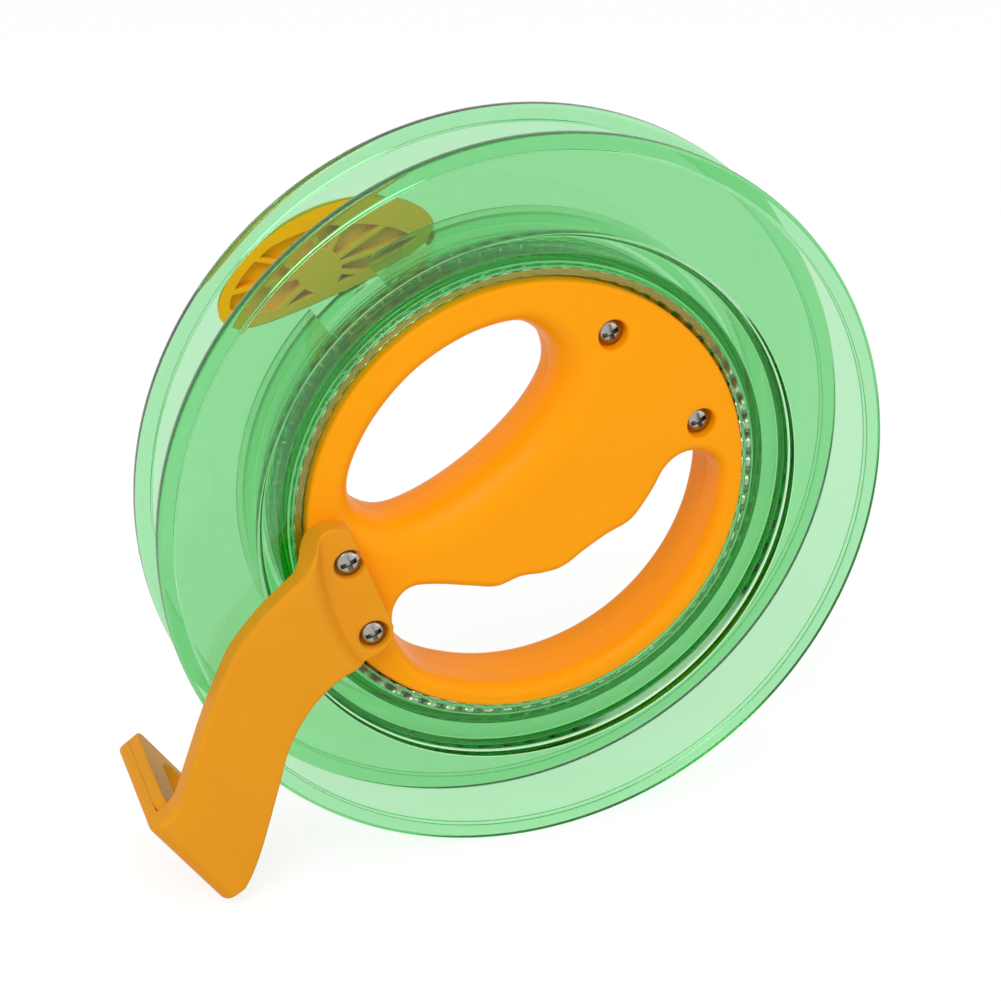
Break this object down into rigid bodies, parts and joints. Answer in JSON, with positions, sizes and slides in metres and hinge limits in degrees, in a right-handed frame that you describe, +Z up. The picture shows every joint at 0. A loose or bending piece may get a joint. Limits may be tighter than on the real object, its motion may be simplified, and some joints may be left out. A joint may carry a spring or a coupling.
{
  "type": "handline reel",
  "caption": "Hand-held line reel: a clear two-flange spool runs on ball rows round a grip hub with palm and finger holes, with a knob behind and a hooked line guide arm.",
  "frame": {"origin": "the spin axis at the middle of the reel's width, in the middle of the hand grip", "axes": "+Z up, +Y along the spin axis away from the front face, +X to the right as seen from the front"},
  "size_m": [0.187, 0.0484, 0.18],
  "materials": {
    "clear_green_plastic": "clear gloss, green tint",
    "orange_plastic": "satin gloss",
    "bright_steel": "bright"
  },
  "bodies": {
    "hub": {"hub_front": "orange_plastic", "hub_rear": "orange_plastic", "guide_arm": "orange_plastic", "guide_liner": "orange_plastic", "arm_screw_upper": "bright_steel", "arm_screw_lower": "bright_steel", "grip_screw_upper": "bright_steel", "grip_screw_lower": "bright_steel"},
    "spool": {"spool_front": "clear_green_plastic", "spool_rear": "clear_green_plastic", "knob": "orange_plastic"},
    "front_balls": {"balls_front": "bright_steel"},
    "rear_balls": {"balls_rear": "bright_steel"}
  },
  "joints": [
    {"name": "spool_spin", "type": "hinge", "parent": "hub", "child": "spool", "pos_m": [0, 0, 0], "axis": [0, 1, 0], "continuous": true},
    {"name": "front_ball_orbit", "type": "hinge", "parent": "hub", "child": "front_balls", "pos_m": [0, -0.0052, 0], "axis": [0, 1, 0], "continuous": true},
    {"name": "rear_ball_orbit", "type": "hinge", "parent": "hub", "child": "rear_balls", "pos_m": [0, 0.0052, 0], "axis": [0, 1, 0], "continuous": true}
  ],
  "couplings": [
    {"joint": "front_ball_orbit", "follows": "spool_spin", "ratio": 0.51991},
    {"joint": "rear_ball_orbit", "follows": "spool_spin", "ratio": 0.51991}
  ]
}
